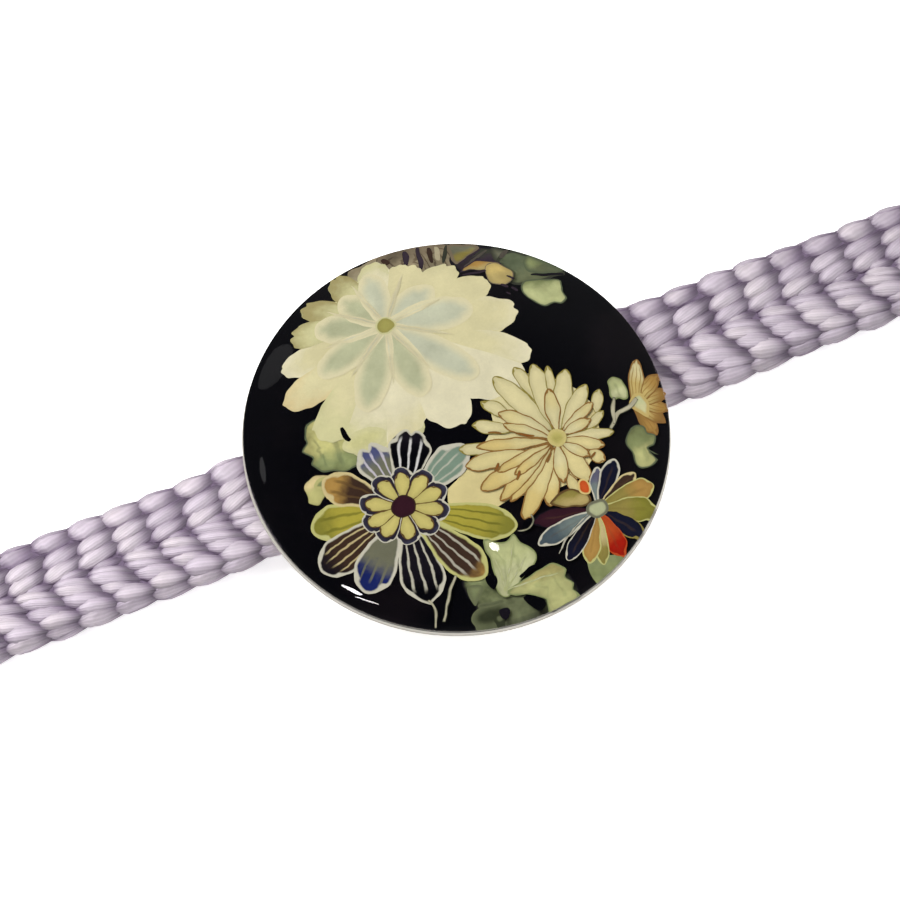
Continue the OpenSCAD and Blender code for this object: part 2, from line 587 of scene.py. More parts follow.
inkLook = {
    "wobbleScale": 1500, "cloudScale": 420, "grainScale": 5200, "roughness": 0.75,
    "tintFade": 0.35, "tintWobble": 0.25,
    # streaks: how they stray, how thick they are, and where along the petal they start and end
    "lineWobble": 0.22, "lineThin": 0.07, "lineSwell": 0.09, "lineStart": (0.06, 0.2),
    "lineEnd": (0.74, 0.88), "lineEndWobble": 0.12, "lineFromEdge": (0.10, 0.30),
    # outlines, and rims that are too broad for an outline, in mm
    "broadRim": (0.30, 0.34), "outline": (0.0, 0.04), "rimWobble": 0.16, "rimFade": (0.6, 1.25),
    "pooling": 0.16, "poolReach": (0.05, 0.55), "unevenness": 1.6,
    "grainDark": 0.93, "grainSpread": 0.14,
}


def inkMaterial():
    # paint with a tint towards the tip, fine streaks, an outline, and the unevenness of a brush
    ink = Finish("printed_ink")
    place = ink.place()
    across, along, edge = ink.attribute("across"), ink.attribute("along"), ink.attribute("edge")
    wobble = ink.noise(place, inkLook["wobbleScale"], 2.0) - 0.5
    cloud = ink.noise(place, inkLook["cloudScale"], 3.0, 0.6)
    grain = ink.noise(place, inkLook["grainScale"], 2.0, 0.6)
    tintFrom = ink.attribute("tintFrom")
    tinting = ink.step(along + wobble * inkLook["tintWobble"], tintFrom,
                       tintFrom + inkLook["tintFade"])
    body = ink.mix(ink.attribute("paint", "Color"), ink.attribute("tint", "Color"), tinting)

    lines = ink.attribute("lines")
    phase = (across * 0.5 + 0.5) * (lines + 1) + wobble * inkLook["lineWobble"] + 0.5
    fromLine = ink.maths("ABSOLUTE", ink.maths("FRACT", phase) - 0.5)
    thin = inkLook["lineThin"] + inkLook["lineSwell"] * cloud
    onLine = 1 - ink.step(fromLine, thin * 0.5, thin * 1.5)
    reaches = ink.step(along, *inkLook["lineStart"]) * (
        1 - ink.step(along + wobble * inkLook["lineEndWobble"], *inkLook["lineEnd"]))
    clearOfRim = ink.step(edge, *inkLook["lineFromEdge"])
    streaks = onLine * reaches * clearOfRim * ink.attribute("streak", "Alpha")
    body = ink.mix(body, ink.attribute("streak", "Color"), streaks)

    # paint pools a little darker beside the outline
    width = ink.attribute("rimWidth")
    soft = ink.step(width, *inkLook["broadRim"])
    outlined = ink.step(width, *inkLook["outline"]) * (1 - soft)
    pooled = 1 - inkLook["pooling"] * (1 - ink.step(edge, *inkLook["poolReach"])) * outlined
    mottle = ink.attribute("mottle")
    uneven = 1 + mottle * (cloud - 0.5) * inkLook["unevenness"]
    body = ink.scaled(body, pooled * uneven)
    # a broad rim fades all the way in, and a narrow one is a line
    full, gone = inkLook["rimFade"]
    onRim = 1 - ink.step(edge + wobble * inkLook["rimWobble"], width * full * (1 - soft),
                         width * gone + 0.001)
    body = ink.mix(body, ink.attribute("rim", "Color"), onRim)
    body = ink.scaled(body, inkLook["grainDark"] + inkLook["grainSpread"] * grain)
    return ink.surface({"Base Color": body, "Roughness": inkLook["roughness"],
                        "Specular IOR Level": 0.0})


def groundMaterial():
    # the printed black, warmer and lighter in faint patches
    ink = Finish("printed_black")
    place = ink.place()
    cloud = ink.noise(place, ground["patchScale"], 3.0, 0.55)
    patches = ink.step(cloud, *ground["patchFade"])
    body = ink.mix(colours["black"], colours["warmBlack"], patches)
    grain = ink.noise(place, inkLook["grainScale"], 2.0)
    body = ink.scaled(body, rising(ground["grain"], grain))
    return ink.surface({"Base Color": body, "Roughness": inkLook["roughness"],
                        "Specular IOR Level": 0.0})


paper = {"fibreScale": 900, "dark": (176, 170, 160), "pale": (204, 199, 190),
         "rim": (182, 178, 170), "blackFrom": -0.03 * mm, "blackFull": -0.01 * mm,
         "rimFrom": -0.04 * mm, "bump": 0.03 * mm}


def paperMaterial():
    # pale card with a soft fibre to it
    card = Finish("disc_paper")
    place = card.place()
    fibre = card.noise(place, paper["fibreScale"], 4.0, 0.6)
    height = card.part(place, 2)
    body = card.mix(tone(*paper["dark"]), tone(*paper["pale"]), fibre)
    # its top is printed black under the glass, and its cut edge stays pale
    onTop = card.step(height, printHeight + paper["blackFrom"], printHeight + paper["blackFull"])
    fromMiddle = card.node("VectorMath", {"operation": "LENGTH"}, {0: card.node(
        "VectorMath", {"operation": "MULTIPLY"}, {0: place, 1: (1, 1, 0)})}, 1)
    inside = 1 - card.step(fromMiddle, domeRadius + paper["rimFrom"],
                           domeRadius + paper["blackFull"])
    body = card.mix(body, card.mix(tone(*paper["rim"]), colours["black"], inside), onTop)
    bump = card.node("Bump", None, {"Strength": 0.25, "Distance": paper["bump"], "Height": fibre})
    return card.surface({"Base Color": body, "Roughness": 0.65, "Normal": bump})


def paperDisc():
    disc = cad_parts["printed_disc"]
    disc.data.materials.clear()
    disc.data.materials.append(paperMaterial())


def printGround():
    deselectAll()
    bpy.ops.mesh.primitive_circle_add(vertices=ground["segments"], radius=ground["radius"] * mm,
                                      location=(0, 0, printHeight + ground["lift"] * mm),
                                      fill_type="TRIFAN")
    black = newPiece("print_ground")
    black.data.materials.append(groundMaterial())
    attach(black, "root")


paperDisc()
printGround()
inkFinish = inkMaterial()
print("disc and its black ground made")


# foliage: what lies behind the flowers

def ellipsePoints(centre, wide, high, count=10):
    turns = [2 * math.pi * k / count for k in range(count)]
    return [(centre[0] + wide * math.cos(t), centre[1] + high * math.sin(t)) for t in turns]


def smudge(paint, tint=None, rimWidth=0.25, rim="black", **more):
    return {"paint": paint, "tint": tint or paint, "rim": rim, "rimWidth": rimWidth, **more}


def flatPaint(name):
    return smudge(name, rimWidth=0.0)


def softPatch(x, y, wide, high, paint, around):
    # a shade that fades into what is round it
    blot(ellipsePoints((x, y), wide, high), smudge(paint, rimWidth=0.6 * min(wide, high),
                                                   rim=around, mottle=0.8))


topStreaks = [
    # from, to, width, paint
    ((0.6, 16.9), (0.9, 16.0), 0.55, "umber"), ((2.6, 16.9), (2.2, 15.2), 0.50, "plum"),
    ((3.7, 16.9), (3.1, 14.2), 0.42, "plum"), ((4.5, 16.4), (4.1, 14.5), 0.40, "umber"),
    ((5.1, 16.3), (4.7, 14.6), 0.45, "growthPale"), ((6.0, 16.1), (4.9, 14.2), 0.30, "shade"),
    ((5.9, 13.5), (8.5, 14.7), 0.26, "plum"), ((6.3, 13.1), (8.8, 14.3), 0.30, "smoke"),
    ((9.4, 13.0), (10.4, 13.8), 0.45, "smoke"), ((10.9, 10.5), (13.7, 9.9), 0.30, "ink"),
]


def paintFoliage():
    # left leaf, then the streaked growth at the top, then the shadows at the bottom
    blot([(-10.2, 5.2), (-11.1, 4.3), (-11.1, 3.6), (-11.8, 3.1), (-11.2, 2.3), (-11.5, 1.8),
          (-10.9, 0.9), (-10.1, 0.5), (-8.8, 0.1), (-7.4, 0.6), (-7.2, 2.6), (-7.6, 4.8)],
         smudge("leafDark", "leafYellow", 0.14, rim="leafDeep", tintFrom=0.22, mottle=1.3,
                streak="leafDeep", lines=2, strength=0.4))
    blot([(-12.9, 0.4), (-12.0, 0.9), (-11.0, 0.8), (-10.4, 0.1), (-11.0, -0.6), (-12.2, -1.6),
          (-13.2, -1.2), (-13.0, -0.4)], smudge("leafYellow", "sand", 0.14, mottle=0.8))
    softPatch(-11.3, 0.0, 0.8, 0.5, "leafDark", "leafYellow")
    blot([(-2.4, 16.9), (-1.2, 17.1), (0.6, 17.2), (1.2, 15.6), (0.4, 14.6), (-1.0, 14.8),
          (-2.4, 15.0)], smudge("growthPale", "growth", 0.0, mottle=1.0))
    blot([(0.3, 17.2), (0.5, 15.4), (2.4, 14.4), (3.4, 13.4), (5.2, 13.2), (6.4, 12.6), (6.4, 14.6),
          (6.0, 16.2), (3.0, 17.05)], smudge("growth", "growthDark", 0.0, streak="umber", lines=7,
                                             strength=0.6, tintFrom=0.5, mottle=1.2))
    blot([(5.6, 14.6), (5.8, 12.6), (8.4, 12.4), (10.4, 12.0), (10.9, 13.2), (9.0, 14.7),
          (7.2, 15.4)], smudge("plum", "shade", 0.3, rim="ink", mottle=1.0))
    blot([(6.1, 16.0), (7.2, 15.7), (8.2, 15.2), (8.1, 14.6), (6.1, 13.6), (5.7, 13.9),
          (5.7, 14.9)], smudge("moss", "sage", 0.3, rim="growthDark", tintFrom=0.3, mottle=0.9))
    blot([(9.3, 14.4), (10.5, 13.6), (11.8, 12.6), (10.9, 11.1), (9.4, 12.3), (8.8, 13.1)],
         smudge("leafDeep", "sage", 0.5, rim="shade", mottle=1.1))
    blot([(9.0, 12.9), (8.7, 10.6), (10.2, 9.6), (13.2, 9.8), (13.9, 10.0), (12.2, 12.2),
          (10.6, 13.6)], smudge("foliage", "leafDeep", 0.3, rim="shade", tintFrom=0.3, mottle=1.2))
    blot([(11.0, 12.0), (11.7, 12.6), (12.6, 11.9), (13.4, 10.9), (13.9, 10.2), (11.9, 10.4),
          (10.9, 10.9)], smudge("foliage", "leafDark", 0.5, rim="leafDeep", mottle=1.1))
    for start, stop, width, paint in topStreaks:
        stroke([start, stop], width, flatPaint(paint))
    blot([(-4.6, -11.9), (-2.7, -11.9), (-1.9, -12.9), (-0.3, -13.6), (1.6, -14.0), (3.2, -14.3),
          (3.5, -15.2), (3.7, -16.0), (3.6, -16.9), (2.4, -17.1), (-0.1, -17.28), (-2.9, -17.0),
          (-5.2, -16.5), (-4.9, -15.4), (-4.5, -14.5), (-4.7, -13.4)],
         smudge("foliage", "foliageLight", 0.5, "ink", tintFrom=0.45, mottle=1.6),
         centre=(-1.6, -15.2))
    blot([(-4.4, -12.6), (-3.3, -12.9), (-3.8, -13.7), (-4.5, -14.4), (-4.6, -13.4)],
         smudge("foliageLight", rimWidth=0.5, rim="foliage", mottle=0.8))
    softPatch(-3.7, -15.65, 1.6, 1.05, "foliageDim", "foliage")
    softPatch(-3.1, -16.2, 0.6, 0.5, "foliage", "foliageDim")
    stroke([(-4.3, -14.5), (-3.4, -14.7), (-2.3, -14.9)], 0.45,
           smudge("shade", rimWidth=0.4, rim="foliage"))
    # the yellow ground under the pointed bloom
    blot([(5.5, 2.6), (8.3, 1.2), (10.2, -1.0), (10.5, -3.4), (9.6, -5.4), (8.0, -7.0), (6.4, -7.6),
          (4.6, -7.4), (2.2, -7.1), (1.0, -7.0), (0.3, -7.6), (-1.0, -7.1), (-2.6, -6.3),
          (-3.0, -5.5), (-2.5, -4.2), (-1.2, -3.7), (-0.3, -3.4), (0.9, -3.0), (1.4, -2.0),
          (2.6, -0.9), (3.0, 0.8), (4.1, 2.2)], smudge("petal", "petalPale", 0.0, tintFrom=0.5),
         centre=(5.5, -3.5))
    finishPrint("print_foliage")


paintFoliage()


# cream bloom: a fan of broad petals that meet at notches, with a misty flower inside it

creamBloom = {"centre": (-1.57, 10.25), "heartRadius": 0.8, "archPowers": (1.55, 0.85),
              "nick": 0.30, "nickWidth": 0.13, "tear": 0.07, "tears": 63, "mistLonger": 1.08,
              "mistWider": 1.28, "rayTurns": (6, -33, -71, -105, -144, 176, 137, 102, 54)}
creamPetals = [
    # angle and reach of the notch before the petal, angle and reach of its tip, paint, tint,
    # and where the tint starts
    (169.5, 7.1, 177.5, 9.2, "cream", "paleCream", 0.7),
    (187.8, 8.0, 196.0, 10.6, "cream", "tanCream", 0.72),
    (209.8, 7.8, 214.5, 10.7, "cream", "greenCream", 0.6),
    (229.0, 10.0, 240.5, 10.6, "paleCream", "greenCream", 0.66),
    (248.0, 10.2, 257.0, 9.9, "paleCream", "cream", 0.7),
    (269.0, 8.6, 281.0, 10.6, "paleCream", "paleCream", 0.7),
    (292.5, 9.1, 307.0, 11.5, "paleCream", "paleCream", 0.7),
    (319.0, 11.0, 327.5, 11.3, "cream", "paleCream", 0.7),
    (332.6, 8.7, 346.5, 10.4, "cream", "paleCream", 0.8),
    (355.6, 8.1, 367.0, 9.1, "cream", "cream", 0.7),
    (375.4, 7.1, 387.5, 7.8, "cream", "cream", 0.7),
    (398.0, 5.9, 412.0, 6.4, "cream", "cream", 0.7),
    (426.0, 5.7, 441.0, 6.9, "paleCream", "greenCream", 0.7),
    (454.4, 5.2, 466.0, 7.2, "greenCream", "tipOlive", 0.62),
    (484.0, 5.0, 494.5, 7.6, "greenCream", "tipOlive", 0.58),
    (507.0, 6.4, 518.0, 7.9, "greenCream", "tipOlive", 0.74),
]
mistPetals = [
    # angle, length, width, paint
    (22, 4.7, 2.1, "mist"), (-10, 6.4, 2.4, "mist"), (-56, 7.8, 2.2, "mist"),
    (-87, 6.4, 2.1, "mistDark"), (-124, 7.0, 2.2, "mistDark"), (-165, 6.2, 2.1, "mistDark"),
    (156, 5.4, 2.2, "mistDark"), (119, 4.5, 2.0, "mistDark"), (85, 5.2, 1.9, "mist"),
]


def fanPetal(row, following):
    # one petal of the cream bloom, drawn in angle and reach from its notch to the next
    startTurn, startReach, tipTurn, tipReach, paint, tint, tintFrom = row
    endTurn, endReach = following[0], following[1]
    if endTurn < startTurn:
        endTurn += 360
    across, along = fanSheet["points"][:, 0], (fanSheet["points"][:, 1] + 1) / 2
    share = (across + 1) / 2
    turn = startTurn + (endTurn - startTurn) * share
    peak = (tipTurn - startTurn) / (endTurn - startTurn)
    side = np.where(share < peak, (peak - share) / peak, (share - peak) / (1 - peak))
    fall, lift = creamBloom["archPowers"]
    arch = (1 - side ** fall) ** lift
    reach = startReach + (endReach - startReach) * share
    reach = reach + (tipReach - (startReach + (endReach - startReach) * peak)) * arch
    # the tip is nicked in its middle and the outline is torn a little
    a = np.radians(turn)
    reach = reach - creamBloom["nick"] * np.exp(-(side / creamBloom["nickWidth"]) ** 2)
    reach = reach + creamBloom["tear"] * np.sin(a * creamBloom["tears"])
    reach = reach * along
    centre = creamBloom["centre"]
    flat = np.column_stack([centre[0] + reach * np.cos(a), centre[1] + reach * np.sin(a)])
    addShape(fanSheet, flat, across, along, {"paint": paint, "tint": tint, "tintFrom": tintFrom})


def paintCreamBloom():
    # the greener growth between this bloom and the ringed one
    blot([(-7.9, 3.6), (-5.2, 3.4), (-2.4, 2.4), (-2.4, 0.6), (-5.2, -0.4), (-7.4, 0.4),
          (-8.2, 1.8)], smudge("greenCream", "leaf", 0.0, tintFrom=0.5, mottle=0.8))
    for row, following in zip(creamPetals, creamPetals[1:] + creamPetals[:1]):
        fanPetal(row, following)
    centre = creamBloom["centre"]
    softPatch(-6.9, 1.9, 1.8, 0.9, "creamLime", "greenCream")
    stroke([(-8.1, 3.6), (-8.1, 2.9), (-7.85, 2.3)], 0.40, smudge("black", rimWidth=0.02), ends=0.4)
    for angle, length, width, paint in mistPetals:
        petal(centre, angle, length * creamBloom["mistLonger"], width * creamBloom["mistWider"],
              smudge(paint, paint, 0.75, "creamMid", mottle=0.4), belly=0.6, tip=0.55, end=0.7)
    for angle in creamBloom["rayTurns"]:
        petal(centre, angle, 5.2, 0.40, smudge("ray", rimWidth=0.17, rim="creamMid"), base=0.5,
              belly=0.4, tip=0.1)
    heart = creamBloom["heartRadius"]
    blot([(centre[0] + heart * math.cos(t),
           centre[1] + heart * math.sin(t)) for t in np.arange(0, 6.2, 0.8)],
         smudge("heart", rimWidth=0.16, rim="greenCream"))
    finishPrint("print_cream_bloom")


paintCreamBloom()


# ringed bloom: ten striped outer petals round a ring of yellow ones

ringBloom = {"centre": (-6.27, -4.41), "ringWide": 3.5, "ringHigh": 3.1, "heartRadius": 1.0,
             "yellowTurns": (70, 33, 2, -29, -63, -105, -146, -174, 153, 110)}
ringLookKeys = ("paint", "tint", "tintFrom", "streak", "lines", "strength", "rim", "rimWidth")
ringPetals = [
    # angle, length, width, notch, paint, tint, where the tint starts, streak, its lines and
    # strength, outline and its width
    (171, 7.7, 3.2, 0.0, "oliveLight", "olive", 0.5, "oliveDark", 2, 0.6, "lime", 0.26),
    (139, 6.8, 2.9, 0.0, "umber", "ochre", 0.45, "bark", 2, 0.6, "sand", 0.24),
    (97, 6.0, 3.0, 0.6, "sage", "blueTip", 0.40, "lilac", 3, 0.8, "outline", 0.26),
    (61, 6.5, 3.3, 0.45, "black", "ink", 0.5, "white", 3, 0.95, "outline", 0.16),
    (-163.5, 8.8, 3.3, 0.0, "umber", "ink", 0.6, "sand", 4, 0.8, "outline", 0.22),
    (-137, 8.1, 3.3, 0.0, "sage", "navy", 0.42, "sage", 3, 0.85, "outline", 0.26),
    (-100, 8.4, 3.6, -0.25, "ink", "black", 0.5, "outline", 3, 0.85, "outline", 0.22),
    (23, 6.9, 2.8, 0.0, "teal", "teal", 0.5, "outline", 3, 0.6, "outline", 0.28),
    (-67, 8.7, 3.2, 0.0, "umber", "ochre", 0.74, "outline", 3, 0.7, "lime", 0.28),
    (-34.5, 8.9, 3.0, 0.0, "oliveLight", "olive", 0.55, "oliveDark", 3, 0.75, "lime", 0.22),
]


def paintRingedBloom():
    centre = ringBloom["centre"]
    for angle, length, width, notch, *look in ringPetals:
        petal(centre, angle, length, width, dict(zip(ringLookKeys, look)), start=2.2, base=0.42,
              belly=0.72, tip=0.66, sharp=0.6, end=1.15, notch=notch)
    wide, high = ringBloom["ringWide"], ringBloom["ringHigh"]
    blot(ellipsePoints(centre, wide - 0.6, high - 0.6), smudge("slateDark", "ink", 0.1, "slate"))
    # a slate petal and a yellow one in it, out to an ellipse round the heart
    slate = smudge("slateDark", "slate", 0.09, "outline", tintFrom=0.8)
    yellow = smudge("butter", "butter", 0.07, "bark")
    for further, width, look, base, tip, end in (
            (0.12, 1.85, slate, 0.3, 0.75, 0.55), (-0.32, 1.22, yellow, 0.25, 0.7, 0.45)):
        for angle in ringBloom["yellowTurns"]:
            turn = math.radians(angle)
            reach = wide * high / math.hypot(high * math.cos(turn), wide * math.sin(turn))
            petal(centre, angle, reach + further, width, look, start=0.6, base=base, belly=0.78,
                  tip=tip, end=end)
    blot(ellipsePoints(centre, ringBloom["heartRadius"], ringBloom["heartRadius"] * 0.92),
         smudge("maroon", rimWidth=0.1, rim="umber"))
    finishPrint("print_ringed_bloom")


paintRingedBloom()


# pointed bloom: slim petals with brown outlines, the outer ones under the inner ones

pointBloom = {"heart": (6.8, -3.75), "heartRadius": 0.75, "beside": 2.0, "runOn": 0.5}
pointLooks = {
    # paint, tint, outline, its width
    "pale": ("petalPale", "petalPale", "moss", 0.08), "plain": ("petal", "petal", "brown", 0.09),
    "warm": ("petal", "petalWarm", "brown", 0.11), "inner": ("petalPale", "petal", "brown", 0.10),
}
pointPetals = [
    # tip, base, width, look
    (4.2, 2.7, 6.5, -2.4, 1.69, "pale"), (6.0, 3.0, 6.8, -0.8, 1.13, "pale"),
    (7.5, 2.7, 6.9, -2.1, 1.64, "pale"), (8.5, 2.1, 7.8, -0.7, 0.84, "pale"),
    (9.7, 1.4, 7.6, -2.6, 1.54, "pale"), (10.8, -0.4, 8.0, -2.8, 1.32, "pale"),
    (11.6, -1.1, 10.5, -2.9, 1.00, "pale"), (11.2, -2.9, 9.2, -4.0, 0.90, "pale"),
    (11.4, -4.9, 7.9, -4.1, 1.03, "pale"), (10.2, -5.7, 7.3, -4.2, 1.13, "plain"),
    (9.7, -6.9, 8.7, -5.6, 1.13, "plain"), (7.8, -8.0, 7.1, -4.7, 1.60, "plain"),
    (6.6, -8.8, 6.4, -6.6, 0.99, "plain"), (4.2, -8.9, 5.5, -5.3, 1.45, "warm"),
    (1.8, -9.1, 5.8, -5.2, 1.54, "warm"), (1.4, -7.3, 5.6, -4.8, 1.11, "warm"),
    (2.5, 1.2, 4.2, -0.8, 1.14, "pale"), (1.1, -0.3, 3.8, -1.9, 1.15, "pale"),
    (-0.6, -1.8, 2.6, -3.0, 1.10, "pale"), (-0.7, -3.3, 4.2, -3.9, 1.46, "plain"),
    (0.7, -6.9, 5.1, -4.8, 1.16, "warm"), (-0.3, -5.5, 4.6, -4.6, 1.48, "warm"),
    (0.7, -2.1, 5.8, -3.9, 1.06, "warm"), (1.4, -4.6, 5.5, -4.2, 0.95, "warm"),
    (2.5, -5.4, 5.7, -4.5, 0.85, "warm"), (3.4, -0.1, 6.2, -3.1, 1.38, "inner"),
    (3.3, -1.2, 6.1, -3.5, 0.97, "inner"), (7.8, 0.3, 7.1, -2.8, 1.24, "inner"),
    (10.7, -2.0, 7.8, -3.0, 0.94, "inner"), (10.0, -3.2, 7.7, -3.5, 0.96, "inner"),
    (5.8, -7.4, 6.5, -4.6, 1.19, "inner"), (8.7, -6.1, 7.1, -4.7, 0.93, "inner"),
]
rustMarks = [
    # from, to, width
    ((2.0, -1.35), (3.0, -1.8), 0.20), ((3.9, -2.25), (5.2, -2.95), 0.24),
    ((1.3, -4.5), (1.8, -4.0), 0.24), ((3.1, -5.15), (2.5, -5.8), 0.22),
    ((5.3, -5.4), (5.9, -4.7), 0.18), ((8.6, -6.3), (9.2, -6.0), 0.20),
]


def paintPointedBloom():
    x, y = pointBloom["heart"]
    for tipX, tipY, baseX, baseY, width, kind in pointPetals:
        paint, tint, outline, outlineWidth = pointLooks[kind]
        # the petals that start beside the heart run on into it
        if math.dist((baseX, baseY), (x, y)) < pointBloom["beside"]:
            baseX += (x - baseX) * pointBloom["runOn"]
            baseY += (y - baseY) * pointBloom["runOn"]
        angle = math.degrees(math.atan2(tipY - baseY, tipX - baseX))
        petal((baseX, baseY), angle, math.hypot(tipX - baseX, tipY - baseY), width,
              smudge(paint, tint, outlineWidth, outline), base=0.16, belly=0.56, tip=0.3, end=0.3)
    # the brown turns to rust here and there
    for begin, finish, width in rustMarks:
        stroke([begin, finish], width, smudge("rust", rimWidth=0.1, rim="brown"), ends=0.3)
    softPatch(x, y, pointBloom["heartRadius"], pointBloom["heartRadius"], "heartTan", "heartEdge")
    finishPrint("print_pointed_bloom")


paintPointedBloom()


# pinwheel bloom: narrow petals, each of its own colour

pinBloom = {"centre": (7.58, -10.46), "heartRadius": 0.78}
pinPetals = [
    # angle, length, width, paint, tint, outline, its width
    (170, 5.3, 1.5, "maroon", "maroon", "ink", 0.06),
    (68, 3.6, 1.3, "steel", "bluegrey", "outline", 0.10),
    (49, 4.5, 1.6, "pinNavy", "pinNavy", "outline", 0.16),
    (22, 4.5, 1.3, "umber", "umber", "sand", 0.16),
    (2, 5.3, 2.1, "moss", "ochre", "lime", 0.10), (-22, 5.1, 2.2, "moss", "olive", "lime", 0.10),
    (-52, 4.6, 1.7, "pinNavy", "pinNavy", "moss", 0.08),
    (-83, 4.7, 1.8, "fire", "red", "fire", 0.10),
    (-104, 4.9, 1.2, "sand", "moss", "lime", 0.10),
    (-119, 4.8, 1.5, "ochre", "ochre", "lime", 0.12),
    (-140, 5.0, 1.4, "ink", "pinNavy", "outline", 0.08),
    (-169.5, 5.6, 1.6, "steel", "steelDark", "outline", 0.14),
]


def paintPinwheelBloom():
    centre = pinBloom["centre"]
    # what fills the gaps round it
    blot([(4.2, -8.6), (5.8, -8.0), (7.2, -8.9), (7.2, -9.8), (5.6, -9.6)],
         smudge("tan", "moss", 0.2, "bark"))
    blot(ellipsePoints((7.26, -8.35), 0.55, 0.7), smudge("spot", "spot", 0.15, "petalWarm"))
    blot([(5.2, -14.2), (6.4, -14.4), (8.4, -15.0), (8.3, -15.2), (6.7, -16.0), (5.4, -16.4),
          (5.1, -15.6)], smudge("leafDark", "foliageLight", 0.0, mottle=0.9))
    for angle, length, width, paint, tint, rim, rimWidth in pinPetals:
        petal(centre, angle, length, width, smudge(paint, tint, rimWidth, rim, lines=1,
                                                   streak="bark", strength=0.18), start=0.3,
              base=0.2, belly=0.72, tip=0.45, sharp=0.6, end=0.45)
    stroke([(7.2, -10.4), (5.2, -11.3), (3.9, -12.2), (3.3, -12.9)], 0.16,
           smudge("outline", rimWidth=0.02))
    heart = pinBloom["heartRadius"]
    blot(ellipsePoints(centre, heart * 1.2, heart), smudge("pinHeart", rimWidth=0.25, rim="sage"))
    blot([(1.35, -9.75), (1.7, -9.25), (2.3, -9.1), (2.3, -9.6), (1.9, -9.9)], flatPaint("black"))
    finishPrint("print_pinwheel_bloom")


paintPinwheelBloom()


# edge bloom and leaf sprays on the right, and the pale leaf at the bottom

edgePetals = [
    # angle, length, width, paint, tint
    (-78, 3.4, 1.5, "bloomDeep", "ochre"), (-52, 3.2, 1.4, "bloomEdge", "bloomDeep"),
    (-28, 3.3, 1.3, "bloomEdge", "ochre"), (0, 3.3, 1.4, "bloomEdge", "bloomDeep"),
    (28, 3.6, 1.4, "bloomEdge", "ochre"), (62, 4.0, 1.4, "bloomEdge", "petalPale"),
]


def paintEdgeBloom():
    base = (14.1, -3.1)
    for angle, length, width, paint, tint in edgePetals:
        petal(base, angle, length, width, smudge(paint, tint, 0.12, "brown", lines=3,
                                                 streak="bloomDeep", strength=0.8), base=0.5,
              belly=0.55, tip=0.25, end=0.4)
    blot([(13.5, -3.2), (14.2, -2.5), (15.0, -2.6), (15.2, -3.8), (14.7, -4.7), (14.0, -4.0)],
         smudge("greenCream", "leafPale", 0.3, "bloomEdge"))
    finishPrint("print_edge_bloom")


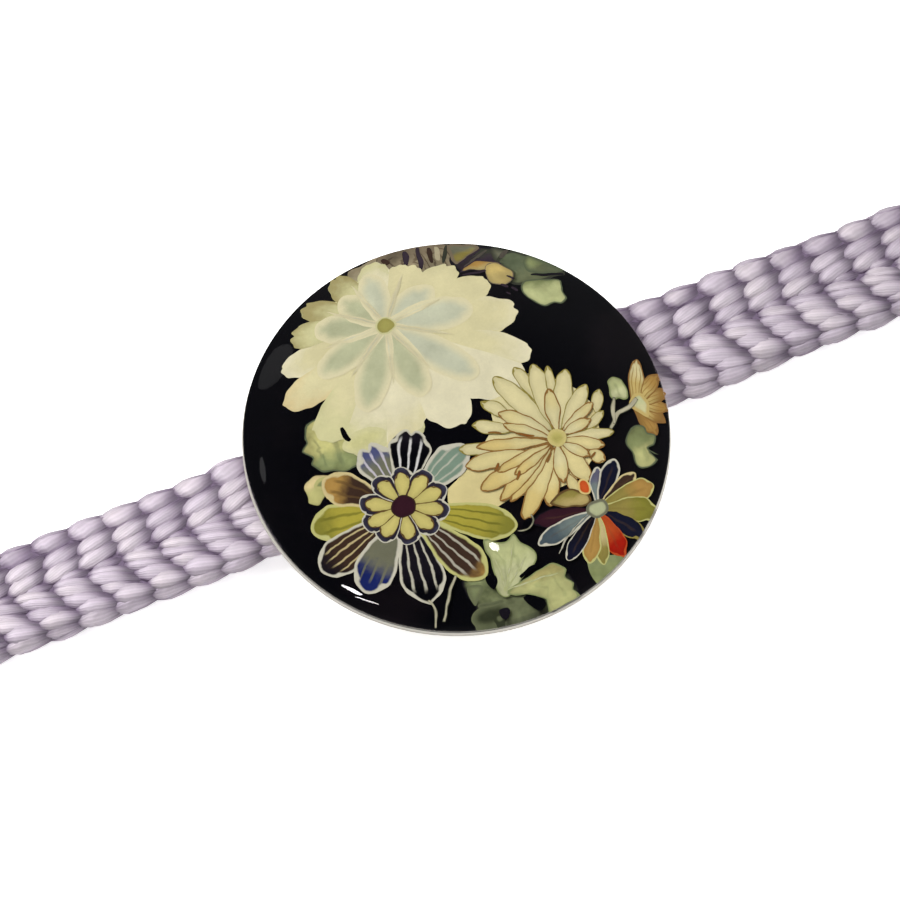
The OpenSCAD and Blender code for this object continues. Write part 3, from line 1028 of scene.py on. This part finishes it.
def paintLeaves():
    veined = {"streak": "leafDark", "lines": 1, "strength": 0.35, "mottle": 0.9}
    twoVeined = {"streak": "leafDark", "lines": 2, "strength": 0.3, "mottle": 0.9}
    # bud and two-lobed leaf
    blot([(12.2, -1.9), (12.5, -1.3), (12.6, -0.7), (13.1, -0.5), (13.7, -0.8), (13.8, -1.3),
          (13.9, -1.9), (13.7, -2.5), (13.3, -2.6), (12.9, -2.4), (12.4, -2.4)],
         smudge("leafPale", "leaf", 0.14, "leafDark", **veined))
    blot([(12.0, -6.0), (12.5, -5.3), (13.3, -5.0), (14.0, -5.3), (14.1, -5.9), (14.7, -6.4),
          (14.3, -7.0), (13.6, -7.2), (13.6, -7.5), (14.3, -8.1), (14.0, -8.5), (13.1, -8.8),
          (12.4, -8.6), (12.0, -8.0), (12.1, -7.1), (11.9, -6.5)],
         smudge("leafDim", "leafDark", 0.14, "leafDeep", tintFrom=0.35, **veined))
    # leaf at the upper right
    blot([(9.5, 9.3), (9.9, 9.9), (10.8, 10.0), (12.0, 9.7), (13.1, 9.35), (13.0, 8.8), (12.7, 8.1),
          (12.75, 7.4), (12.1, 7.05), (11.5, 7.2), (10.7, 7.15), (10.2, 7.6), (9.7, 8.3)],
         smudge("leaf", "leafDark", 0.14, "leafDeep", tintFrom=0.6, mottle=0.8))
    # tan scraps over the cream bloom's edge
    blot([(5.6, 12.5), (6.2, 13.0), (7.3, 13.4), (8.5, 13.0), (9.2, 12.3), (8.4, 12.0), (7.4, 12.2),
          (6.4, 12.6)], smudge("tan", "ochre", 0.12, "plum"))
    blot([(7.7, 12.3), (8.4, 12.8), (9.1, 12.3), (9.7, 11.1), (9.0, 10.3), (8.3, 10.2),
          (7.5, 10.9)], smudge("tan", "bloomEdge", 0.08, "growthDark", mottle=0.8))
    for start, stop in (((5.7, 12.3), (7.7, 12.05)), ((8.2, 10.3), (8.7, 9.9)),
                        ((9.0, 11.0), (9.5, 10.5)), ((8.9, 9.8), (9.2, 9.2)),
                        ((8.3, 9.5), (8.5, 9.1))):
        stroke([start, stop], 0.24, flatPaint("plum"))
    # pale leaf at the bottom
    blot([(-1.6, -9.4), (-0.4, -10.3), (0.6, -9.9), (0.9, -10.9), (1.5, -11.6), (1.5, -12.5),
          (1.0, -13.1), (-0.1, -13.7), (-0.9, -14.3), (-1.9, -14.8), (-2.4, -14.1), (-2.2, -12.8),
          (-1.9, -11.3), (-2.0, -10.2)], smudge("leafPale", "leaf", 0.12, "leafDark", tintFrom=0.3,
                                                **twoVeined))
    blot([(-1.7, -14.2), (-0.2, -13.9), (0.8, -13.6), (2.4, -13.4), (3.3, -14.2), (3.05, -15.0),
          (3.5, -15.7), (3.3, -16.3), (3.6, -16.9), (2.1, -17.2), (0.7, -17.3), (0.95, -16.3),
          (-0.4, -15.15), (-1.5, -14.8)], smudge("leafDim", "leafTan", 0.12, "leafDark",
                                                 tintFrom=0.5, **twoVeined), centre=(1.7, -14.9))
    # black that shows through
    blot([(-0.7, -15.3), (0.0, -15.4), (0.7, -16.1), (0.7, -16.6), (0.1, -17.0), (-0.2, -16.6),
          (-0.6, -15.9)], flatPaint("black"))
    blot([(-2.8, -12.4), (-2.2, -12.5), (-2.1, -13.2), (-2.6, -13.7), (-2.9, -13.1)],
         flatPaint("black"))
    blot([(-2.9, -15.6), (-2.3, -15.6), (-2.2, -16.1), (-2.6, -16.6), (-3.0, -16.3)],
         flatPaint("ink"))
    # pale veins from the leaf's foot, each a little bent
    vein = smudge("vein", rimWidth=0.06, rim="leaf")
    for x, y in ((0.2, -10.6), (0.8, -12.0), (-1.6, -11.0), (2.6, -14.4)):
        stroke([(-1.9, -14.2), ((x - 1.5) / 2, (y - 14.0) / 2), (x, y)], 0.16, vein)
    stroke([(-0.3, -13.6), (0.5, -13.25), (1.4, -13.1)], 0.34, flatPaint("black"), ends=0.7)
    finishPrint("print_leaves")


def paintStems():
    pale = smudge("stem", rimWidth=0.05, rim="sage")
    stroke([(11.2, -4.6), (12.3, -3.55), (13.4, -3.4), (14.4, -2.9)], 0.44, pale, ends=0.7)
    stroke([(11.6, -4.3), (12.0, -3.2), (12.5, -2.2)], 0.36, pale, ends=0.6)
    stroke([(-4.96, -11.46), (-6.17, -12.89), (-7.39, -14.86)], 0.26, pale, ends=0.8)
    stroke([(-7.78, -12.5), (-7.62, -13.53), (-8.2, -15.0)], 0.24, pale, ends=0.8)
    stroke([(1.0, -9.8), (1.9, -9.9), (2.5, -9.4), (2.45, -8.9)], 0.16, pale, ends=0.6)
    finishPrint("print_stems")


paintEdgeBloom()
paintLeaves()
paintStems()
for sheet in (petalSheet, blotSheet, fanSheet):
    bpy.data.objects.remove(sheet["object"])


# braid: one pitch of stitches, repeated along a flat band and wrapped round the braid's section

braid = {"thickness": 3.3, "width": 10.0, "middle": 2.2, "length": 92.0, "lift": 0.95,
         "liftHalf": 13.0, "dropLength": 9.0, "pitch": 3.15, "firstStitch": -47.6, "repeats": 31,
         "segments": 8, "rings": 9, "seed": 11, "swellSpread": 0.05,
         "shiftSpread": (0.09, 0.05, 0.05), "highest": 0.04, "cutStep": 0.004, "smoothBelow": 70}
# a ply's form along it, from 0 at its tail to 1 at its head
plyForm = {"plump": 1.06, "tailSink": 0.34, "tailSinkEnds": 0.72, "headSink": 0.06,
           "headSinkFrom": 0.8, "tailWidth": 0.82, "tailEnds": 0.7, "startRound": 0.12,
           "headFrom": 0.66, "headPowers": (2.1, 0.58)}
braidWidths = [
    # place as a share of the half length, share of the width
    (-1.00, 0.92), (-0.45, 0.97), (-0.28, 1.00), (0.28, 1.00), (0.45, 1.03), (1.00, 0.97),
]
stitchColumns = ("across", "along", "turn", "length", "width", "depth", "low")
stitchRows = [
    # where the stitch's head lies across and along, its turn, length, width, depth,
    # and how far it lies below the others
    (5.25, -0.40, 8, 5.0, 2.3, 1.3, 0.08),
    (3.62, -0.65, 9, 4.8, 3.25, 1.5),
    (1.48, -0.62, 12, 4.7, 1.80, 1.2),
    (0.24, -0.72, 14, 4.7, 1.75, 1.2),
    (-0.16, 0.10, -1, 3.6, 1.30, 1.2, 0.15),
    (-0.40, -0.25, -17, 4.7, 1.35, 1.1),
    (-0.98, -0.33, -20, 4.8, 1.45, 1.1),
    (-1.88, 0.05, -23, 4.9, 1.85, 1.2),
    (-3.12, 0.70, -20, 4.9, 2.5, 1.4),
    (-4.90, 0.40, -10, 5.4, 2.5, 1.4),
]


def sectionPerimeter():
    radius = braid["thickness"] / 2
    return 4 * (braid["width"] / 2 - radius) + 2 * math.pi * radius


def braidFloor(x):
    share = smoothly((np.abs(x) - braid["liftHalf"]) / braid["dropLength"])
    return braid["lift"] * (1 - share)


def wrapBraid(points):
    # from a flat band (along, round the section, out of its surface) to the braid's own place
    x, around, out = points.T
    radius = braid["thickness"] / 2
    flatHalf = braid["width"] / 2 - radius
    quarter = math.pi / 2 * radius
    # half the top, the far edge, the bottom, the near edge, then the rest of the top
    total = sectionPerimeter()
    s = np.mod(around, total)
    ends = [flatHalf, flatHalf + 2 * quarter, 3 * flatHalf + 2 * quarter,
            3 * flatHalf + 4 * quarter]
    turn = np.select([s < ends[0], s < ends[1], s < ends[2], s < ends[3]],
                     [0 * s, (s - ends[0]) / radius, math.pi + 0 * s,
                      math.pi + (s - ends[2]) / radius], 2 * math.pi)
    centre = np.select([s < ends[0], s < ends[1], s < ends[2], s < ends[3]],
                       [s, flatHalf + 0 * s, flatHalf - (s - ends[1]), -flatHalf + 0 * s],
                       s - total)
    across = centre + (radius + out) * np.sin(turn)
    up = (radius + out) * np.cos(turn)
    shares, widths = zip(*braidWidths)
    wide = np.interp(x / (braid["length"] / 2), shares, widths)
    return np.column_stack([x, braid["middle"] + across * wide, braidFloor(x) + radius + up])


def plyShape(points, row):
    # a ball's points drawn out into one plump ply, its head at the left and its tail tucked under
    along = (1 - points[:, 0]) / 2
    across = np.maximum(np.hypot(points[:, 1], points[:, 2]), 1e-6)
    side, rise = points[:, 1] / across, points[:, 2] / across
    poles = across < 1e-4
    radius = np.where(poles, 0, plyRadius(along))
    turn = math.radians(row["turn"])
    behind = (1 - along) * row["length"]
    sideways = side * radius * row["width"] * plyForm["plump"] / 2
    x = row["along"] + behind * math.cos(turn) - sideways * math.sin(turn)
    y = row["across"] + behind * math.sin(turn) + sideways * math.cos(turn)
    headSinkFrom = plyForm["headSinkFrom"]
    sink = plyForm["tailSink"] * (1 - smoothly(along / plyForm["tailSinkEnds"]))
    sink = sink + plyForm["headSink"] * smoothly((along - headSinkFrom) / (1 - headSinkFrom))
    out = -row["depth"] / 2 - sink - row.get("low", 0) + rise * radius * row["depth"] / 2
    return np.column_stack([x, y, out]), along


def plyRadius(along):
    # slim at the tail, full near the head, and round at its end
    tailWidth = plyForm["tailWidth"]
    tail = tailWidth + (1 - tailWidth) * smoothly(along / plyForm["tailEnds"])
    startRound = plyForm["startRound"]
    opening = np.clip(1 - (1 - along / startRound) ** 2, 0, 1)
    start = np.where(along < startRound, np.sqrt(opening), 1)
    headFrom = plyForm["headFrom"]
    past = np.clip((along - headFrom) / (1 - headFrom), 0, 1)
    full, blunt = plyForm["headPowers"]
    head = (1 - past ** full) ** blunt
    return tail * start * head


def makeStitches():
    # one pitch: each row's ply on both faces of the braid
    plies = []
    for face in (0, 1):
        for values in stitchRows:
            row = dict(zip(stitchColumns, values))
            deselectAll()
            bpy.ops.mesh.primitive_uv_sphere_add(segments=braid["segments"],
                                                 ring_count=braid["rings"], radius=1,
                                                 rotation=(0, math.pi / 2, 0), calc_uvs=True)
            ply = newPiece("ply")
            shaped, along = plyShape(readPoints(ply), row)
            shaped[:, 1] += face * sectionPerimeter() / 2
            shaped[:, 0] += face * braid["pitch"] / 2
            writePoints(ply, shaped)
            addNumbers(ply, "ply", np.full(len(shaped), len(plies)))
            addNumbers(ply, "headward", along)
            plies.append(ply)
    unit = joinPieces("braid_stitches", plies)
    repeat = unit.modifiers.new("repeat", "ARRAY")
    repeat.use_relative_offset = False
    repeat.use_constant_offset = True
    repeat.constant_offset_displace = (braid["pitch"], 0, 0)
    repeat.count = braid["repeats"]
    unitSize = len(unit.data.vertices)
    pickOnly(unit)
    bpy.ops.object.modifier_apply(modifier=repeat.name)
    return unit, unitSize, len(plies)


def looseStitches(unit, unitSize, pliesInUnit):
    # no two stitches quite alike: each shifts, swells and gets a number of its own, which sets
    # where its threads lie and how much painted highlight it takes
    points = readPoints(unit)
    points[:, 0] += braid["firstStitch"]
    number = np.zeros(len(points))
    unit.data.attributes["ply"].data.foreach_get("value", number)
    copy = np.arange(len(points)) // unitSize
    which = (number + pliesInUnit * copy).round().astype(int)
    count = which.max() + 1
    chance = np.random.RandomState(braid["seed"])
    middles = np.zeros((count, 3))
    plySizes = np.bincount(which, None, count)
    for axis in range(3):
        middles[:, axis] = np.bincount(which, points[:, axis], count) / plySizes
    swell = 1 + chance.normal(0, braid["swellSpread"], (count, 3))
    shift = chance.normal(0, 1, (count, 3)) * braid["shiftSpread"]
    shift[:, 2] = -np.abs(shift[:, 2])
    points = middles[which] + (points - middles[which]) * swell[which] + shift[which]
    points[:, 2] = np.minimum(points[:, 2], braid["highest"])
    addNumbers(unit, "strand", chance.uniform(0, 1, count)[which])
    # how deep each point lies, which sets the painted shade in the hollows
    addNumbers(unit, "sunk", -points[:, 2])
    writePoints(unit, wrapBraid(points) * mm)
    return which


def selectPly(piece, number):
    numbers = np.zeros(len(piece.data.vertices))
    piece.data.attributes["crossing"].data.foreach_get("value", numbers)
    bpy.ops.object.mode_set(mode="EDIT")
    bpy.ops.mesh.select_all(action="DESELECT")
    bpy.ops.object.mode_set(mode="OBJECT")
    piece.data.vertices.foreach_set("select", np.abs(numbers - number) < 0.5)
    bpy.ops.object.mode_set(mode="EDIT")
    bpy.ops.mesh.select_mode(type="VERT")


def trimEnds(piece, plyOf):
    # both ends are cut square, one ply at a time, because the plies overlap in the cut
    half = braid["length"] / 2 * mm
    outwards = np.abs(readPoints(piece)[:, 0])
    nearest = np.full(plyOf.max() + 1, np.inf)
    farthest = np.zeros(plyOf.max() + 1)
    np.minimum.at(nearest, plyOf, outwards)
    np.maximum.at(farthest, plyOf, outwards)
    # 0 stays whole, 1 goes, and from 2 on each number is a ply that crosses an end
    state = np.where(nearest >= half, 1, 0)
    crossing = np.flatnonzero((nearest < half) & (farthest > half))
    state[crossing] = 2 + np.arange(len(crossing))
    sides = [float(np.sign(readPoints(piece)[plyOf == ply, 0].mean())) for ply in crossing]
    addNumbers(piece, "crossing", state[plyOf].astype(float))
    pickOnly(piece)
    selectPly(piece, 1)
    bpy.ops.mesh.delete(type="VERT")
    bpy.ops.object.mode_set(mode="OBJECT")
    for number in range(2, 2 + len(crossing)):
        selectPly(piece, number)
        side = sides[number - 2]
        # each a hair shorter than the last, as cut faces in one plane would shade black
        cut = side * (half - number * braid["cutStep"] * mm)
        bpy.ops.mesh.bisect(plane_co=(cut, 0, 0), plane_no=(side, 0, 0), clear_outer=True,
                            use_fill=True)
        bpy.ops.object.mode_set(mode="OBJECT")
    piece.data.attributes.remove(piece.data.attributes["crossing"])
    pickOnly(piece)
    bpy.ops.object.shade_smooth_by_angle(angle=math.radians(braid["smoothBelow"]))


silkLook = {
    # threads: how many go round a ply, how they slant, how they stray, and how plies differ
    "fine": (22, 2.4, 0.9, 7), "coarse": (5, 1.3, 0.5, 3), "fullTurn": 6.2832,
    "driftScale": 900, "fuzzScale": 7000, "threadDepth": 0.07 * mm,
    "fineTone": (0.89, 0.13), "coarseTone": (0.87, 0.18), "fuzzTone": (0.94, 0.12),
    "relief": (0.5, 0.9, 0.25),
    # colours from the painted shade of the deepest hollow to the highest crown and its painted
    # highlight, and how deep in mm each one fades
    "plum": (84, 67, 92), "hollow": (116, 100, 122), "crown": (191, 179, 191),
    "pale": (206, 196, 198), "hollowShadeFade": (0.05, 0.54), "deepShadeFade": (0.6, 1.2),
    # painted light and shade: the head is palest, the tail darkest, and some plies get more painted
    # highlight than others
    "headFade": (0.25, 0.85), "headTone": (0.8, 0.2), "highlightFrom": (0.25, 1.0), "highlightShare": 0.55,
    "tailShadeTone": 0.56, "tailShadeFade": (0.22, 0.52), "middleTone": 1.07, "darkerPerMetre": 2.6,
    "bump": 0.45, "roughness": (0.40, 0.14), "specular": 0.55,
    "sheen": (236, 226, 240), "sheenWeight": 0.12, "sheenRoughness": 0.35,
}


def silkMaterial():
    # lavender silk: fine threads that run along each ply, with painted highlights on the crowns and
    # painted plum shade in the hollows
    silk = Finish("lavender_silk")
    place = silk.place()
    uv = silk.node("UVMap", {"uv_map": "UVMap"})
    around, down = silk.part(uv, 0), silk.part(uv, 1)
    strand, sunk = silk.attribute("strand"), silk.attribute("sunk")
    drift = silk.noise(place, silkLook["driftScale"], 2.0) - 0.5

    def threads(count, slant, stray, apart):
        phase = around * count + down * slant + drift * stray + strand * apart
        return silk.maths("SINE", phase * silkLook["fullTurn"]) * 0.5 + 0.5
    fine = threads(*silkLook["fine"])
    coarse = threads(*silkLook["coarse"])
    fuzz = silk.noise(place, silkLook["fuzzScale"], 2.0, 0.6)
    # painted shade: the deeper a point lies below the crowns the darker it is, and towards each
    # ply's head it is painted paler, as if lit
    crown = 1 - silk.step(sunk, *silkLook["hollowShadeFade"])
    towardHead = silk.step(silk.attribute("headward"), *silkLook["headFade"])
    body = silk.mix(tone(*silkLook["hollow"]), tone(*silkLook["crown"]),
                    crown * rising(silkLook["headTone"], towardHead))
    # a painted highlight on the crowns towards the heads, stronger on some plies than on others
    pale = silk.step(strand, *silkLook["highlightFrom"]) * crown * towardHead * silkLook["highlightShare"]
    body = silk.mix(body, tone(*silkLook["pale"]), pale)
    # painted deep shade, plum, in the deepest hollows
    body = silk.mix(body, tone(*silkLook["plum"]), silk.step(sunk, *silkLook["deepShadeFade"]))
    # painted shade where a stitch slips under the next one, and painted light that makes the braid
    # a little paler towards the left end
    outOfGap = silk.step(silk.attribute("headward"), *silkLook["tailShadeFade"])
    body = silk.scaled(body, silkLook["tailShadeTone"] + (1 - silkLook["tailShadeTone"]) * outOfGap)
    body = silk.scaled(body,
                       silkLook["middleTone"] - silkLook["darkerPerMetre"] * silk.part(place, 0))
    body = silk.scaled(body, rising(silkLook["fineTone"], fine) * rising(
        silkLook["coarseTone"], coarse) * rising(silkLook["fuzzTone"], fuzz))
    fineRelief, coarseRelief, fuzzRelief = silkLook["relief"]
    height = fine * fineRelief + coarse * coarseRelief + fuzz * fuzzRelief
    bump = silk.node("Bump", None, {"Strength": silkLook["bump"], "Height": height,
                                    "Distance": silkLook["threadDepth"]})
    return silk.surface({
        "Base Color": body, "Roughness": rising(silkLook["roughness"], fuzz), "Normal": bump,
        "Specular IOR Level": silkLook["specular"], "Sheen Weight": silkLook["sheenWeight"],
        "Sheen Roughness": silkLook["sheenRoughness"], "Sheen Tint": tone(*silkLook["sheen"])})


# the inside's colours are painted shade, as dark as the hollows between the stitches
coreForm = {"depth": 0.6, "columns": 72, "rows": 64, "inset": 0.05, "merge": 0.01,
            "smoothBelow": 60, "dark": (84, 70, 92), "pale": (112, 96, 118), "grainScale": 3000,
            "roughness": 0.8}


def coreMaterial():
    # the braid's inside, seen only between the stitches and painted dark as the shade there
    core = Finish("braid_inside_shade")
    grain = core.noise(core.place(), coreForm["grainScale"], 2.0)
    body = core.mix(tone(*coreForm["dark"]), tone(*coreForm["pale"]), grain)
    return core.surface({"Base Color": body, "Roughness": coreForm["roughness"]})


def makeCore():
    # a sheet rolled round the section, just under the stitches
    deselectAll()
    bpy.ops.mesh.primitive_grid_add(x_subdivisions=coreForm["columns"],
                                    y_subdivisions=coreForm["rows"], size=1)
    core = newPiece("braid_core")
    points = readPoints(core)
    half = braid["length"] / 2 - coreForm["inset"]
    # a hair less than all the way round, so that its two edges meet and are merged
    around = (points[:, 1] + 0.5) * sectionPerimeter() * 0.99999
    flat = np.column_stack([points[:, 0] * 2 * half, around,
                            np.full(len(points), -coreForm["depth"])])
    writePoints(core, wrapBraid(flat) * mm)
    pickOnly(core)
    bpy.ops.object.mode_set(mode="EDIT")
    bpy.ops.mesh.select_all(action="SELECT")
    bpy.ops.mesh.remove_doubles(threshold=coreForm["merge"] * mm)
    for side in (-1, 1):
        bpy.ops.mesh.select_all(action="DESELECT")
        bpy.ops.object.mode_set(mode="OBJECT")
        for vertex in core.data.vertices:
            vertex.select = vertex.co.x * side > (half - coreForm["merge"]) * mm
        bpy.ops.object.mode_set(mode="EDIT")
        bpy.ops.mesh.edge_face_add()
    bpy.ops.mesh.select_all(action="SELECT")
    bpy.ops.mesh.normals_make_consistent(inside=False)
    bpy.ops.object.mode_set(mode="OBJECT")
    bpy.ops.object.shade_smooth_by_angle(angle=math.radians(coreForm["smoothBelow"]))
    core.data.materials.append(coreMaterial())
    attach(core, "root")


def makeBraid():
    unit, unitSize, pliesInUnit = makeStitches()
    trimEnds(unit, looseStitches(unit, unitSize, pliesInUnit))
    unit.data.materials.append(silkMaterial())
    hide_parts("braid_left", "braid_middle", "braid_right")
    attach(unit, "root")
    makeCore()


makeBraid()
print("braid made")


# fitting: the hidden metal keeps its solid and gets a matt brushed nickel finish

nickel = {"brushing": (300, 4000, 4000), "wearScale": 350, "dark": (172, 170, 168),
          "pale": (214, 212, 209), "metallic": 0.6, "roughness": 0.34, "wearRoughness": 0.2,
          "bump": 0.02 * mm}


def nickelMaterial():
    metal = Finish("brushed_nickel")
    place = metal.place()
    brushed = metal.node("Mapping", None, {"Vector": place, "Scale": nickel["brushing"]})
    lines = metal.noise(brushed, 1.0, 3.0, 0.6)
    wear = metal.noise(place, nickel["wearScale"], 3.0, 0.6)
    body = metal.mix(tone(*nickel["dark"]), tone(*nickel["pale"]), lines * 0.6 + wear * 0.4)
    bump = metal.node("Bump", None, {"Strength": 0.2, "Distance": nickel["bump"], "Height": lines})
    return metal.surface({"Base Color": body, "Metallic": nickel["metallic"], "Normal": bump,
                          "Roughness": nickel["roughness"] + nickel["wearRoughness"] * wear})


def finishFitting():
    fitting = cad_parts["fitting"]
    fitting.data.materials.clear()
    fitting.data.materials.append(nickelMaterial())


finishFitting()
print("fitting finished")
